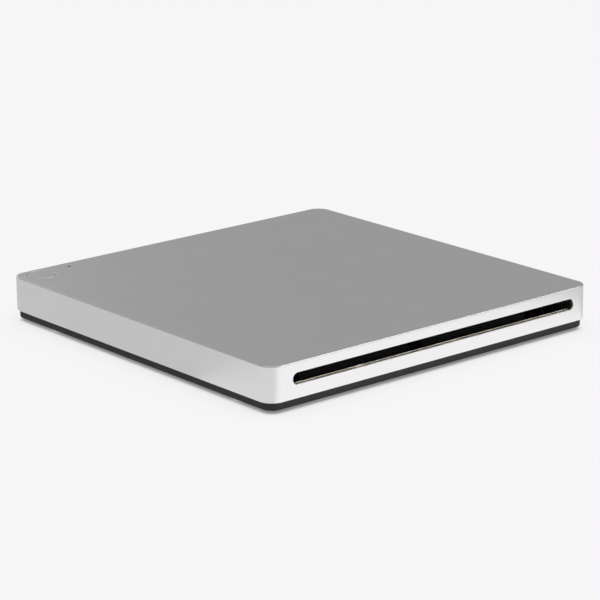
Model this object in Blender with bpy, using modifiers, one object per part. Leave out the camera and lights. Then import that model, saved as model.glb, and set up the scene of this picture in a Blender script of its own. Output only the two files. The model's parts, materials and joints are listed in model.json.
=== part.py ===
"""Slot-loading external optical drive, as an assembly of separate parts.

Frame: metres, +Z up, origin on the ground under the middle of the square case.
The disc slot is in the front face, at -Y. Lengths below are in millimetres times MM.
"""
import math

import bmesh
import bpy
from mathutils import Vector

MM = 0.001

# Case: a square aluminium shell over a black plastic base tray on four rubber feet.
WIDTH = 140 * MM
DEPTH = 140 * MM
TOP_Z = 15.7 * MM
CORNER_R = 5.0 * MM
TOP_EDGE_R = 0.4 * MM
WALL = 1.2 * MM
RIM_Z = 3.8 * MM
BASE_Z = 1.0 * MM
BASE_INSET = 0.9 * MM
BASE_TOP_Z = 3.5 * MM
BASE_EDGE_R = 0.6 * MM
FOOT_R = 5.0 * MM
FOOT_XY = 52 * MM
ROOM = WIDTH / 2 - WALL
CEILING_Z = TOP_Z - WALL
FLOOR_Z = BASE_Z + WALL
GAP = 0.3 * MM

# Disc slot: a 120 mm disc passes through it. It sits a little to the right of the middle.
DISC_R = 60 * MM
SLOT_HALF = DISC_R + 1.7 * MM
SLOT_X = 0.85 * MM
SLOT_LOW_Z = 8.05 * MM
SLOT_HIGH_Z = 12.35 * MM

# Screws: case screws run up from below, drive screws hang the drive from the shell.
POST_X = 65.8 * MM
CASE_POSTS = [(x, y) for x in (-POST_X, POST_X) for y in (-50 * MM, 48 * MM)]
HANGERS = [(x, y) for x in (-POST_X, POST_X) for y in (-30 * MM, 30 * MM)]
POST_R = 2.1 * MM
SCREW_R = 0.8 * MM
SCREW_HOLE_R = 1.1 * MM
HEAD_R = 1.6 * MM
HEAD_H = 0.8 * MM

# Eject key, status light and the rear electronics.
KEY_X, KEY_Y = -61.4 * MM, 63.5 * MM
KEY_R = 4.8 * MM
KEY_TRAVEL = 0.5 * MM
LIGHT_X, LIGHT_Y = -48.5 * MM, 65.6 * MM
LIGHT_R = 0.6 * MM
BOARD_Z, BOARD_TOP_Z = 4.4 * MM, 5.2 * MM
BOARD_SCREWS = [(-40 * MM, 62 * MM), (52 * MM, 62 * MM)]
USB_Z = 7.1 * MM
USB_HALF, USB_R = 4.5 * MM, 1.6 * MM
SWITCH_TOP_Z = 8.3 * MM

# Drive module: a sheet-steel chassis with an open front and a flat cover.
DRIVE_HALF = 63.0 * MM
DRIVE_FRONT, DRIVE_BACK = -64.2 * MM, 58 * MM
SHEET = 0.6 * MM
PAN_Z, PAN_TOP_Z = 2.9 * MM, 3.5 * MM
DRIVE_RIM_Z = 12.7 * MM
COVER_Z = 13.0 * MM
EAR_Z = 11.2 * MM

# Deck: spindle, pickup and guide rods on a frame that a ramped slide lifts.
# Its own x runs outwards from the spindle, towards the back right corner.
SPINDLE_Y = -4 * MM
DECK_TURN = math.radians(45)
DECK_LOW, DECK_HIGH = (-19 * MM, -19 * MM, 3.9 * MM), (66 * MM, 19 * MM, 4.6 * MM)
WINDOW_X = (10.5 * MM, 63 * MM)
WINDOW_Y = 16.4 * MM
LIFT_PIN_X = (6 * MM, 44 * MM)
LIFT_PIN_Z = 4.25 * MM
LIFT_PIN_R = 0.6 * MM
LIFT = 3.0 * MM
CAM_TRAVEL = 10 * MM
ROD_R = 0.9 * MM
ROD_Z = 3.8 * MM
MAIN_ROD_Y, SIDE_ROD_Y = -10.5 * MM, 14.2 * MM
LEAD_Y, LEAD_Z, LEAD_R = -14.5 * MM, 4.3 * MM, 0.8 * MM
LENS_X = 24 * MM

# Loading roller, on a bracket that swings up to meet the disc.
PIVOT_Y, AXLE_Z = -47 * MM, 5.7 * MM
ROLLER_Y = -58 * MM
ROLLER_SHAFT_R = 0.7 * MM
MODULE = 0.3 * MM
GEAR_X = (52.5 * MM, 54 * MM)
MESH_SLACK = 0.05 * MM
ROLLER_TEETH, IDLER_TEETH, PINION_TEETH = 12, 12, 8
IDLER_Y = ROLLER_Y + MODULE * (ROLLER_TEETH + IDLER_TEETH) / 2 + MESH_SLACK
PINION_Y = IDLER_Y + MODULE * (IDLER_TEETH + PINION_TEETH) / 2 + MESH_SLACK
CHEEK_X = (56.2 * MM, 57.0 * MM)

# Eject arm, folded back behind the disc.
ARM_X, ARM_Y = -54 * MM, 44 * MM
ARM_LENGTH = 26.2 * MM
ARM_ANGLE = math.radians(17.7)
ARM_Z, ARM_TOP_Z = 6.6 * MM, 7.4 * MM

CORNER_STEPS = 8
ROUND_STEPS = 32
SMALL_STEPS = 16
SCREW_STEPS = 12
MERGE = 0.00001


# ---------------------------------------------------------------- scene and materials

def clear_scene():
    for obj in list(bpy.data.objects):
        bpy.data.objects.remove(obj, do_unlink=True)


def new_collection(name):
    group = bpy.data.collections.new(name)
    bpy.context.scene.collection.children.link(group)
    return group


def finish(name, colour, roughness, metallic=0.0, alpha=1.0):
    """A Principled material for one part."""
    mat = bpy.data.materials.new(name)
    mat.use_nodes = True
    shader = mat.node_tree.nodes["Principled BSDF"]
    shader.inputs["Base Color"].default_value = (*colour, 1.0)
    shader.inputs["Roughness"].default_value = roughness
    shader.inputs["Metallic"].default_value = metallic
    shader.inputs["Alpha"].default_value = alpha
    return mat


ALUMINIUM = ((0.62, 0.62, 0.63), 0.32, 1.0)
BLACK_PLASTIC = ((0.02, 0.02, 0.022), 0.55)
RUBBER = ((0.03, 0.03, 0.03), 0.85)
STEEL = ((0.55, 0.56, 0.58), 0.3, 1.0)
ZINC_SHEET = ((0.60, 0.61, 0.62), 0.42, 1.0)
LIP_METAL = ((0.36, 0.32, 0.26), 0.35, 1.0)
FELT = ((0.015, 0.015, 0.015), 0.95)
CIRCUIT_BOARD = ((0.02, 0.16, 0.07), 0.5)
CHIP = ((0.03, 0.03, 0.035), 0.6)
NYLON = ((0.82, 0.80, 0.74), 0.45)
BLACK_NYLON = ((0.02, 0.02, 0.02), 0.45)
BLACK_STEEL = ((0.06, 0.06, 0.065), 0.4, 1.0)
GREY_PLASTIC = ((0.12, 0.12, 0.13), 0.5)
CLEAR = ((0.75, 0.78, 0.80), 0.12, 0.0, 0.6)
GLASS = ((0.45, 0.52, 0.75), 0.05, 0.0, 0.5)


def add_object(name, data, look=None, parent=None, location=(0, 0, 0), rotation=(0, 0, 0)):
    """Put a mesh or curve in the model, or among the hidden tools if it has no look."""
    obj = bpy.data.objects.new(name, data)
    obj.location = location
    obj.rotation_euler = rotation
    obj.parent = parent
    if look:
        PARTS.objects.link(obj)
        data.materials.append(finish(name, *look))
    else:
        TOOLS.objects.link(obj)
        obj.hide_render = True
        obj.display_type = "WIRE"
    return obj


def add_empty(name, location, turn=0.0):
    """A frame for pieces that are laid out in their own directions."""
    empty = bpy.data.objects.new(name, None)
    empty.location = location
    empty.rotation_euler = (0, 0, turn)
    PARTS.objects.link(empty)
    return empty


# ---------------------------------------------------------------- shapes

def to_mesh(name, bm):
    mesh = bpy.data.meshes.new(name)
    bm.to_mesh(mesh)
    bm.free()
    return mesh


def add_box(bm, low, high):
    """A box between two corners. Returns its vertices."""
    low, high = Vector(low), Vector(high)
    verts = bmesh.ops.create_cube(bm, size=1.0)["verts"]
    for vert in verts:
        vert.co = Vector(c * s for c, s in zip(vert.co, high - low)) + (low + high) / 2
    return verts


def blocks(name, corners, look=None, **place):
    """One or more boxes, each given by its low and high corner."""
    bm = bmesh.new()
    for low, high in corners:
        add_box(bm, low, high)
    return add_object(name, to_mesh(name, bm), look, **place)


def rounded_block(name, low, high, radius, look=None, edge_z=None, edge_r=0.0, **place):
    """A box with round upright corners and, at edge_z, a rounded rim."""
    bm = bmesh.new()
    add_box(bm, low, high)
    upright = [e for e in bm.edges if abs(e.verts[0].co.z - e.verts[1].co.z) > MERGE]
    round_edges(bm, upright, radius, CORNER_STEPS)
    if edge_z is not None:
        rim = [e for e in bm.edges if all(abs(v.co.z - edge_z) < MERGE for v in e.verts)]
        round_edges(bm, rim, edge_r, 3)
    return add_object(name, to_mesh(name, bm), look, **place)


def round_edges(bm, edges, radius, steps):
    bmesh.ops.bevel(bm, geom=edges, offset=radius, offset_type="OFFSET", segments=steps,
                    profile=0.5, affect="EDGES", clamp_overlap=False)


def rods(name, places, radius, z_low, z_high, look=None, steps=SMALL_STEPS, **place):
    """Upright cylinders of one size, at each (x, y) of places."""
    bm = bmesh.new()
    for x, y in places:
        made = bmesh.ops.create_cone(bm, cap_ends=True, segments=steps, radius1=radius,
                                     radius2=radius, depth=z_high - z_low)
        bmesh.ops.translate(bm, vec=(x, y, (z_low + z_high) / 2), verts=made["verts"])
    obj = add_object(name, to_mesh(name, bm), look, **place)
    smooth(obj.data)
    return obj


def smooth(mesh):
    mesh.shade_smooth()
    mesh.set_sharp_from_angle(angle=math.radians(35))


def turned(name, profile, look=None, steps=ROUND_STEPS, closed=False, **place):
    """A profile of (radius, height) points, top to bottom on its outer side, turned about z."""
    bm = bmesh.new()
    verts = [bm.verts.new((radius, 0, height)) for radius, height in profile]
    pairs = list(zip(verts, verts[1:]))
    if closed:
        pairs.append((verts[-1], verts[0]))
    for pair in pairs:
        bm.edges.new(pair)
    obj = add_object(name, to_mesh(name, bm), look, **place)
    screw = obj.modifiers.new("turn", "SCREW")
    screw.steps = steps
    screw.render_steps = steps
    screw.use_merge_vertices = True
    screw.merge_threshold = MERGE
    screw.use_smooth_shade = False
    return obj


def ring(name, inner, outer, z_low, z_high, look=None, **place):
    """A flat ring, or a short tube."""
    profile = [(outer, z_high), (outer, z_low), (inner, z_low), (inner, z_high)]
    return turned(name, profile, look, closed=True, **place)


def plate(name, loops, z_low, z_high, look=None, location=(0, 0, 0), **place):
    """A flat outline with holes, filled and given its thickness."""
    curve = bpy.data.curves.new(name, "CURVE")
    curve.dimensions = "2D"
    curve.fill_mode = "BOTH"
    curve.extrude = (z_high - z_low) / 2
    for loop in loops:
        spline = curve.splines.new("POLY")
        spline.points.add(len(loop) - 1)
        for point, (x, y) in zip(spline.points, loop):
            point.co = (x, y, 0, 1)
        spline.use_cyclic_u = True
    offset = Vector((0, 0, (z_low + z_high) / 2))
    return add_object(name, curve, look, location=Vector(location) + offset, **place)


def curve_to_mesh(curve_object):
    """A welded mesh of a curve in its own axes, so that it can be cut or joined."""
    bpy.context.view_layer.update()
    graph = bpy.context.evaluated_depsgraph_get()
    mesh = bpy.data.meshes.new_from_object(curve_object.evaluated_get(graph))
    mesh.materials.clear()
    bm = bmesh.new()
    bm.from_mesh(mesh)
    bmesh.ops.remove_doubles(bm, verts=bm.verts, dist=MERGE)
    bm.to_mesh(mesh)
    bm.free()
    return mesh


def solid(curve_object, name, look, **place):
    """Replace a curve by its welded mesh, in the same place."""
    mesh = curve_to_mesh(curve_object)
    location = curve_object.location.copy()
    rotation = curve_object.rotation_euler.copy()
    bpy.data.objects.remove(curve_object, do_unlink=True)
    return add_object(name, mesh, look, location=location, rotation=rotation, **place)


def arc(cx, cy, radius, start, end, steps):
    """Points along an arc, from one angle in degrees to another."""
    angles = [math.radians(start + (end - start) * i / steps) for i in range(steps + 1)]
    return [(cx + radius * math.cos(a), cy + radius * math.sin(a)) for a in angles]


def circle(cx, cy, radius, steps=SMALL_STEPS):
    return arc(cx, cy, radius, 0, 360, steps)[:-1]


def round_rect(x_low, y_low, x_high, y_high, radius, steps=6):
    """The outline of a rectangle with round corners."""
    points = []
    corners = ((x_high, y_high, 0), (x_low, y_high, 90), (x_low, y_low, 180), (x_high, y_low, 270))
    for x, y, start in corners:
        cx = x + (radius if x == x_low else -radius)
        cy = y + (radius if y == y_low else -radius)
        points += arc(cx, cy, radius, start, start + 90, steps)
    return points


def gear_outline(teeth):
    """Straight-flanked teeth, thinner than their gaps so that a pair runs freely."""
    pitch_r = MODULE * teeth / 2
    steps = ((pitch_r - 1.2 * MODULE, -0.30), (pitch_r + 0.9 * MODULE, -0.10),
             (pitch_r + 0.9 * MODULE, 0.10), (pitch_r - 1.2 * MODULE, 0.30))
    points = []
    for tooth in range(teeth):
        for radius, share in steps:
            angle = 2 * math.pi * (tooth + share) / teeth
            points.append((radius * math.cos(angle), radius * math.sin(angle)))
    return points


def boolean(obj, tool, operation):
    step = obj.modifiers.new(tool.name, "BOOLEAN")
    step.object = tool
    step.operation = operation
    step.solver = "EXACT"


def cut(obj, *tools):
    for tool in tools:
        boolean(obj, tool, "DIFFERENCE")


def join(obj, *tools):
    for tool in tools:
        boolean(obj, tool, "UNION")


# ---------------------------------------------------------------- case

def slot_outline(margin):
    """The disc slot seen from the front: a long hole with half-round ends."""
    return round_rect(SLOT_X - SLOT_HALF - margin, SLOT_LOW_Z - margin,
                      SLOT_X + SLOT_HALF + margin, SLOT_HIGH_Z + margin,
                      (SLOT_HIGH_Z - SLOT_LOW_Z) / 2 + margin * 0.999)


def front_cutter(name, loop, y_low, y_high):
    """A closed mesh from an outline in x and z, run from y_low to y_high."""
    bm = bmesh.new()
    near = [bm.verts.new((x, y_low, z)) for x, z in loop]
    face = bm.faces.new(near)
    moved = bmesh.ops.extrude_face_region(bm, geom=[face])["geom"]
    far = [v for v in moved if isinstance(v, bmesh.types.BMVert)]
    bmesh.ops.translate(bm, vec=(0, y_high - y_low, 0), verts=far)
    bmesh.ops.recalc_face_normals(bm, faces=bm.faces)
    return add_object(name, to_mesh(name, bm))


def usb_outline(margin):
    return round_rect(-USB_HALF - margin, USB_Z - USB_R - margin, USB_HALF + margin,
                      USB_Z + USB_R + margin, (USB_R + margin) * 0.999)


def build_top_shell():
    """Top plate and four sides in one piece, with screw posts under the plate."""
    half_x, half_y = WIDTH / 2, DEPTH / 2
    shell = rounded_block("top_shell", (-half_x, -half_y, RIM_Z), (half_x, half_y, TOP_Z),
                          CORNER_R, ALUMINIUM, edge_z=TOP_Z, edge_r=TOP_EDGE_R)
    cut(shell, rounded_block("shell_hollow", (-ROOM, -ROOM, RIM_Z - 2 * MM),
                             (ROOM, ROOM, CEILING_Z), CORNER_R - WALL))
    post_foot = BASE_TOP_Z + 0.1 * MM
    join(shell,
         rods("shell_posts", CASE_POSTS, POST_R, post_foot, CEILING_Z + GAP),
         rods("hanger_bosses", HANGERS, POST_R, COVER_Z + 0.2 * MM, CEILING_Z + GAP))
    cut(shell,
        rods("post_holes", CASE_POSTS, SCREW_HOLE_R, post_foot - 1 * MM, 10 * MM),
        rods("hanger_holes", HANGERS, SCREW_HOLE_R, COVER_Z - 1 * MM, TOP_Z - 0.7 * MM),
        front_cutter("slot_cutter", slot_outline(0), -half_y - 2 * MM, -ROOM + 0.5 * MM),
        front_cutter("usb_cutter", usb_outline(0.35 * MM), ROOM - 0.5 * MM, half_y + 2 * MM),
        rods("key_hole", [(KEY_X, KEY_Y)], KEY_R + 0.2 * MM, CEILING_Z - 1 * MM,
             TOP_Z + 1 * MM, steps=40),
        rods("light_hole", [(LIGHT_X, LIGHT_Y)], LIGHT_R + 0.15 * MM, CEILING_Z - 1 * MM,
             TOP_Z + 1 * MM))
    smooth(shell.data)


def build_base_tray():
    """Shallow tray whose lips locate it inside the shell."""
    half = WIDTH / 2 - BASE_INSET
    tray = rounded_block("base_tray", (-half, -half, BASE_Z), (half, half, BASE_TOP_Z),
                         CORNER_R - BASE_INSET, BLACK_PLASTIC, edge_z=BASE_Z,
                         edge_r=BASE_EDGE_R)
    inner = half - WALL
    cut(tray, rounded_block("tray_hollow", (-inner, -inner, FLOOR_Z),
                            (inner, inner, BASE_TOP_Z + 2 * MM), CORNER_R - BASE_INSET - WALL))
    lip_out, lip_in = ROOM - 0.4 * MM, ROOM - 1.3 * MM
    lip_z = (FLOOR_Z - 0.3 * MM, 6.0 * MM)
    lips = []
    for side in (-1, 1):
        across = sorted((side * lip_in, side * lip_out))
        lips.append(((across[0], -44 * MM, lip_z[0]), (across[1], 42 * MM, lip_z[1])))
        lips.append(((side * 31 * MM - 19 * MM, lip_in, lip_z[0]),
                     (side * 31 * MM + 19 * MM, lip_out, lip_z[1])))
    lips.append(((-50 * MM, -lip_out, lip_z[0]), (50 * MM, -lip_in, lip_z[1])))
    feet = [(x, y) for x in (-FOOT_XY, FOOT_XY) for y in (-FOOT_XY, FOOT_XY)]
    join(tray,
         blocks("tray_lips", lips),
         rods("tray_bosses", CASE_POSTS, POST_R + 0.4 * MM, BASE_Z + 0.3 * MM,
              BASE_TOP_Z - 0.2 * MM),
         rods("board_bosses", BOARD_SCREWS, 2.2 * MM, BASE_Z + 0.3 * MM, BOARD_Z - GAP))
    cut(tray,
        rods("tray_counterbores", CASE_POSTS, HEAD_R + GAP, BASE_Z - 1 * MM, 2.3 * MM),
        rods("tray_holes", CASE_POSTS, SCREW_HOLE_R, BASE_Z - 1 * MM, BASE_TOP_Z + 1 * MM),
        rods("board_boss_holes", BOARD_SCREWS, SCREW_HOLE_R - 0.1 * MM, FLOOR_Z, 6 * MM),
        rods("foot_recesses", feet, FOOT_R + GAP, BASE_Z - 1 * MM, BASE_Z + 0.5 * MM, steps=28))


def build_feet():
    """Four rubber discs, each set in a shallow recess."""
    edge = 0.3 * MM
    top = BASE_Z + 0.2 * MM
    profile = [(0, top), (FOOT_R, top), (FOOT_R, edge), (FOOT_R - edge, 0), (0, 0)]
    for row, y in (("front", -FOOT_XY), ("back", FOOT_XY)):
        for side, x in (("left", -FOOT_XY), ("right", FOOT_XY)):
            turned(f"foot_{row}_{side}", profile, RUBBER, steps=28, location=(x, y, 0))


def screw_profile(head_low, tip, radius=SCREW_R):
    """A pan-head screw driven from below: head at the bottom, with a driver recess."""
    head_top = head_low + HEAD_H
    return [(0, tip), (radius, tip), (radius, head_top), (HEAD_R, head_top),
            (HEAD_R, head_low + 0.25 * MM), (HEAD_R - 0.25 * MM, head_low),
            (0.7 * MM, head_low), (0, head_low + 0.4 * MM)]


def build_screws():
    for number, (x, y) in enumerate(CASE_POSTS, 1):
        turned(f"case_screw_{number}", screw_profile(BASE_Z + 0.2 * MM, 9 * MM), STEEL,
               steps=SCREW_STEPS, location=(x, y, 0))
    for number, (x, y) in enumerate(HANGERS, 1):
        turned(f"drive_screw_{number}", screw_profile(EAR_Z - 1.1 * MM, 14.7 * MM), STEEL,
               steps=SCREW_STEPS, location=(x, y, 0))
        ring(f"drive_grommet_{number}", SCREW_HOLE_R, POST_R, EAR_Z + 0.9 * MM,
             COVER_Z - 0.1 * MM, RUBBER, steps=SMALL_STEPS, location=(x, y, 0))
    for number, (x, y) in enumerate(BOARD_SCREWS, 1):
        upside_down = [(r, -z) for r, z in reversed(screw_profile(-6.3 * MM, -2.8 * MM))]
        turned(f"board_screw_{number}", upside_down, STEEL, steps=SCREW_STEPS,
               location=(x, y, 0))


def build_slot_parts():
    """Black guide frame behind the slot, its metal lower lip and the felt wiper."""
    back, front = -64.9 * MM, -ROOM + GAP
    half, hole_half, strip_half = 64.5 * MM, 62.2 * MM, 60.5 * MM
    upright = (math.pi / 2, 0, 0)
    outer = round_rect(-half, 6.4 * MM, half, 14.1 * MM, 1.0 * MM)
    hole = round_rect(-hole_half, 7.2 * MM, hole_half, 13.2 * MM, 0.5 * MM)
    middle = (back + front) / 2
    thick = (back - front) / 2
    plate("slot_bezel", [outer, hole], -thick, thick, BLACK_PLASTIC,
          location=(SLOT_X, middle, 0), rotation=upright)
    blocks("slot_lip", [((-strip_half, front, 7.5 * MM), (strip_half, -65.3 * MM, 7.95 * MM))],
           LIP_METAL, location=(SLOT_X, 0, 0))
    blocks("slot_felt", [((-strip_half, front, 12.45 * MM), (strip_half, -67.3 * MM, 12.9 * MM))],
           FELT, location=(SLOT_X, 0, 0))


# ---------------------------------------------------------------- key, light and board

def build_eject_button():
    """Round key flush with the top, two retaining tabs and a plunger over its switch."""
    edge = 0.25 * MM
    low = CEILING_Z - 0.9 * MM
    key = turned("eject_button", [(0, TOP_Z), (KEY_R - edge, TOP_Z), (KEY_R, TOP_Z - edge),
                                  (KEY_R, low), (0, low)], ALUMINIUM, steps=40,
                 location=(KEY_X, KEY_Y, 0))
    tab_x, tab_y = KEY_R + 0.9 * MM, 2.5 * MM
    join(key,
         blocks("key_tabs", [((-tab_x, -tab_y, low - 0.1 * MM), (tab_x, tab_y, CEILING_Z - GAP))],
                location=(KEY_X, KEY_Y, 0)),
         rods("key_plunger", [(KEY_X, KEY_Y)], 1.4 * MM,
              SWITCH_TOP_Z + KEY_TRAVEL + 0.15 * MM, low + 0.2 * MM))


def build_light():
    """Light pipe from the board's lamp up to the top face."""
    foot = BOARD_TOP_Z + 1.3 * MM
    collar = CEILING_Z - GAP
    turned("led_light_pipe",
           [(0, TOP_Z), (LIGHT_R, TOP_Z), (LIGHT_R, collar), (1.2 * MM, collar),
            (1.2 * MM, collar - 0.6 * MM), (LIGHT_R, collar - 0.6 * MM), (LIGHT_R, foot), (0, foot)],
           CLEAR, steps=SMALL_STEPS, location=(LIGHT_X, LIGHT_Y, 0))
    half = 0.8 * MM
    blocks("status_led", [((-half, -half / 2, BOARD_TOP_Z + GAP), (half, half / 2, foot - GAP))],
           CLEAR, location=(LIGHT_X, LIGHT_Y, 0))


def build_board():
    """Bridge board along the back, with its chip, switch and connectors."""
    holes = [circle(x, y, SCREW_HOLE_R) for x, y in BOARD_SCREWS]
    edge = round_rect(-66.5 * MM, 59.2 * MM, 56 * MM, 67.2 * MM, 1.0 * MM)
    plate("bridge_board", [edge] + holes, BOARD_Z, BOARD_TOP_Z, CIRCUIT_BOARD)
    on_board = BOARD_TOP_Z + GAP
    blocks("bridge_chip", [((-24 * MM, 60 * MM, on_board), (-17 * MM, 67 * MM, 6.4 * MM))], CHIP)
    switch = blocks("eject_switch",
                    [((KEY_X - 2.6 * MM, KEY_Y - 2.6 * MM, on_board),
                      (KEY_X + 2.6 * MM, KEY_Y + 2.6 * MM, 7.6 * MM))], BLACK_PLASTIC)
    join(switch, rods("switch_cap", [(KEY_X, KEY_Y)], 1.2 * MM, 7.2 * MM, SWITCH_TOP_Z))
    connector = blocks("drive_connector",
                       [((18 * MM, 58.6 * MM, on_board), (40 * MM, 62.4 * MM, 9.0 * MM))],
                       BLACK_PLASTIC)
    cut(connector, blocks("connector_key", [((19.5 * MM, 57 * MM, 6.6 * MM),
                                             (38.5 * MM, 60.5 * MM, 7.8 * MM))]))


def build_usb_socket():
    """Flat oval socket in the back face: a metal shell round an insulator and tongue."""
    front, back = DEPTH / 2 - 0.4 * MM, 61 * MM
    half = (front - back) / 2
    plate("usb_socket", [usb_outline(0), usb_outline(-0.3 * MM)], -half, half, STEEL,
          location=(0, back + half, 0), rotation=(math.pi / 2, 0, 0))
    core = front_cutter("usb_core", usb_outline(-0.6 * MM), back + GAP, back + 2.5 * MM)
    tongue = blocks("usb_tongue", [((-3.2 * MM, back + 1 * MM, USB_Z - 0.35 * MM),
                                    (3.2 * MM, front - 0.8 * MM, USB_Z + 0.35 * MM))],
                    BLACK_PLASTIC)
    join(tongue, core)


# ---------------------------------------------------------------- drive module

def build_chassis(deck):
    """Pressed pan: floor, two sides and a back, with its ears, posts and cut-outs."""
    pan = blocks("drive_chassis", [((-DRIVE_HALF, DRIVE_FRONT, PAN_Z),
                                    (DRIVE_HALF, DRIVE_BACK, DRIVE_RIM_Z))], ZINC_SHEET)
    cut(pan,
        blocks("pan_hollow", [((-DRIVE_HALF + SHEET, DRIVE_FRONT - 2 * MM, PAN_TOP_Z),
                               (DRIVE_HALF - SHEET, DRIVE_BACK - SHEET, DRIVE_RIM_Z + 2 * MM))]),
        rounded_block("deck_opening", (-20 * MM, -21.8 * MM, PAN_Z - 1 * MM),
                      (66.3 * MM, 21.6 * MM, PAN_TOP_Z + 0.1 * MM), 4 * MM, parent=deck))
    ears = []
    for x, y in HANGERS:
        inner = math.copysign(DRIVE_HALF - 0.2 * MM, x)
        outer = math.copysign(POST_X + 2 * MM, x)
        ears.append(((min(inner, outer), y - 3 * MM, EAR_Z),
                     (max(inner, outer), y + 3 * MM, EAR_Z + SHEET)))
    pivots = []
    for side in (-1, 1):
        across = sorted((side * 57.8 * MM, side * 58.6 * MM))
        pivots.append(((across[0], PIVOT_Y - 1.8 * MM, PAN_Z + 0.3 * MM),
                       (across[1], PIVOT_Y + 1.8 * MM, 7.4 * MM)))
    forks = []
    for x in LIFT_PIN_X:
        for side in (-1, 1):
            across = sorted((x + side * 0.9 * MM, x + side * 2.4 * MM))
            forks.append(((across[0], -23 * MM, PAN_Z + 0.3 * MM),
                          (across[1], -20.4 * MM, 7.9 * MM)))
    join(pan, blocks("pan_ears", ears), blocks("pan_pivots", pivots),
         blocks("pan_forks", forks, parent=deck),
         rods("arm_collar", [(ARM_X, ARM_Y)], 2.2 * MM, PAN_Z + 0.3 * MM, ARM_Z - GAP),
         rods("arm_post", [(ARM_X, ARM_Y)], 1.2 * MM, PAN_Z + 0.3 * MM, ARM_TOP_Z + 0.4 * MM))
    pins = rods("pivot_holes", [(0, 0)], 1.0 * MM, -70 * MM, 70 * MM,
                location=(0, PIVOT_Y, AXLE_Z), rotation=(0, math.pi / 2, 0))
    pin_limits = blocks("pivot_span", [((-60 * MM, PIVOT_Y - 3 * MM, 4 * MM),
                                        (60 * MM, PIVOT_Y + 3 * MM, 7.4 * MM))])
    boolean(pins, pin_limits, "INTERSECT")
    cut(pan, pins, rods("ear_holes", HANGERS, SCREW_HOLE_R, EAR_Z - 1 * MM, EAR_Z + 2 * MM),
        blocks("plug_gap", [((17 * MM, 56 * MM, 5 * MM), (41 * MM, 60 * MM, 9.5 * MM))]))


def build_top_cover():
    """Flat lid of the drive with stiffening ribs and a round window over the spindle."""
    edge = round_rect(-DRIVE_HALF, DRIVE_FRONT, DRIVE_HALF, DRIVE_BACK, 1.5 * MM)
    slots = [round_rect(x - 1.5 * MM, 20 * MM, x + 1.5 * MM, 44 * MM, 1.4 * MM)
             for x in (-40 * MM, 40 * MM)]
    plate("drive_top_cover", [edge, circle(0, SPINDLE_Y, 12 * MM, 40)] + slots,
          COVER_Z, COVER_Z + 0.5 * MM, ZINC_SHEET)


def build_drive_board():
    edge = round_rect(-60.5 * MM, -38 * MM, -34 * MM, 34 * MM, 1.0 * MM)
    notch = circle(-56 * MM, 28 * MM, 1.1 * MM)
    plate("drive_board", [edge, notch], PAN_TOP_Z + GAP, PAN_TOP_Z + 1.1 * MM, CIRCUIT_BOARD)
    low = PAN_TOP_Z + 1.4 * MM
    blocks("controller_chip", [((-53 * MM, -1 * MM, low), (-41 * MM, 11 * MM, low + 0.9 * MM))],
           CHIP)


def build_eject_arm():
    """Lever on a post at the back left, with an upright pin that pushes the disc out."""
    tip_x = ARM_LENGTH
    outline = (arc(0, 0, 3.2 * MM, 90, 270, 10) + arc(tip_x, 0, 2.0 * MM, -90, 90, 8))
    turn = (0, 0, ARM_ANGLE)
    pivot = (ARM_X, ARM_Y, 0)
    blank = plate("arm_blank", [outline, circle(0, 0, 1.45 * MM)], ARM_Z, ARM_TOP_Z,
                  location=pivot, rotation=turn)
    arm = solid(blank, "eject_arm", STEEL)
    join(arm, rods("arm_pin", [(tip_x, 0)], 0.8 * MM, ARM_Z + 0.2 * MM, 12.2 * MM,
                   location=pivot, rotation=turn))
    tip = Vector((ARM_X + tip_x * math.cos(ARM_ANGLE), ARM_Y + tip_x * math.sin(ARM_ANGLE), 0))
    ring("eject_arm_pad", 1.0 * MM, 1.9 * MM, ARM_TOP_Z + GAP, 11.9 * MM, RUBBER,
         steps=SMALL_STEPS, location=tip)


# ---------------------------------------------------------------- loading roller

ALONG_X = (0, math.pi / 2, 0)
GEAR_TURN = (math.pi / 2, 0, math.pi / 2)


def build_roller_bracket():
    """Bracket with a cheek at each end, the motor lug and the idler's stub axle."""
    bar = ((-CHEEK_X[1], -1.5 * MM, -1.5 * MM), (CHEEK_X[1], 1.5 * MM, -0.7 * MM))
    bracket = blocks("roller_bracket", [bar], BLACK_STEEL, location=(0, PIVOT_Y, AXLE_Z))
    front = ROLLER_Y - PIVOT_Y - 2 * MM
    cheeks = []
    for side in (-1, 1):
        across = sorted((side * CHEEK_X[0], side * (CHEEK_X[1] + 0.01 * MM)))
        cheeks.append(((across[0], front, -1.6 * MM), (across[1], 1.6 * MM, 1.6 * MM)))
    lug = ((50.3 * MM, PINION_Y - PIVOT_Y - 2 * MM, -1.6 * MM), (51.1 * MM, 0, 1.6 * MM))
    origin = (0, PIVOT_Y, AXLE_Z)
    join(bracket, blocks("bracket_cheeks", cheeks, location=origin),
         blocks("motor_lug", [lug], location=origin),
         rods("pivot_pin_left", [(0, 0)], 0.7 * MM, -59.2 * MM, -56.5 * MM, location=origin,
              rotation=ALONG_X),
         rods("pivot_pin_right", [(0, 0)], 0.7 * MM, 56.5 * MM, 59.2 * MM, location=origin,
              rotation=ALONG_X),
         rods("idler_stub", [(0, 0)], 0.5 * MM, 52.1 * MM, 56.5 * MM,
              location=(0, IDLER_Y, AXLE_Z), rotation=ALONG_X))
    cut(bracket,
        rods("shaft_holes", [(0, 0)], ROLLER_SHAFT_R + GAP, -60 * MM, 60 * MM,
             location=(0, ROLLER_Y, AXLE_Z), rotation=ALONG_X),
        rods("lug_hole", [(0, 0)], 0.8 * MM, 49 * MM, 52 * MM, location=(0, PINION_Y, AXLE_Z),
             rotation=ALONG_X))


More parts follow.
